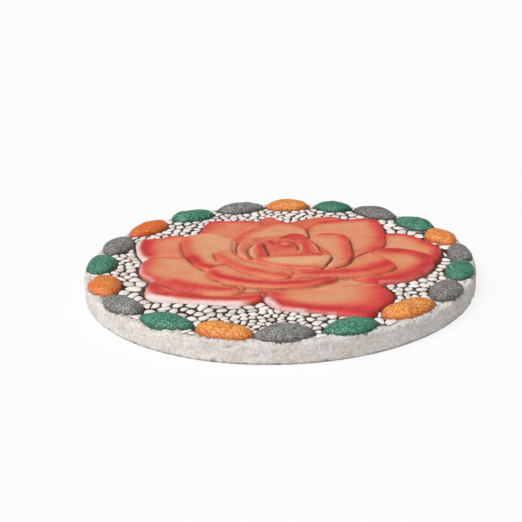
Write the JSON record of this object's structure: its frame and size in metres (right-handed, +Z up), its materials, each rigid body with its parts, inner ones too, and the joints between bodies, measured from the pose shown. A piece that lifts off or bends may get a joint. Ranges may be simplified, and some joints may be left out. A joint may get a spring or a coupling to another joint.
{
  "type": "garden stepping stone",
  "caption": "Round cast garden stepping stone with a painted rose in relief on a bed of white pebbles, inside a border of painted cobbles.",
  "frame": {"origin": "middle of the flat underside, on the ground", "axes": "+Z up out of the relief; -Y towards the viewer of the picture, so the rose's broad front petals point to -Y"},
  "size_m": [0.254, 0.254, 0.0191],
  "materials": {
    "cast_stone": "rough cast concrete, with the relief painted in coral, orange, green, grey and cream"
  },
  "bodies": {
    "root": {"stepping_stone": "cast_stone"}
  },
  "joints": []
}
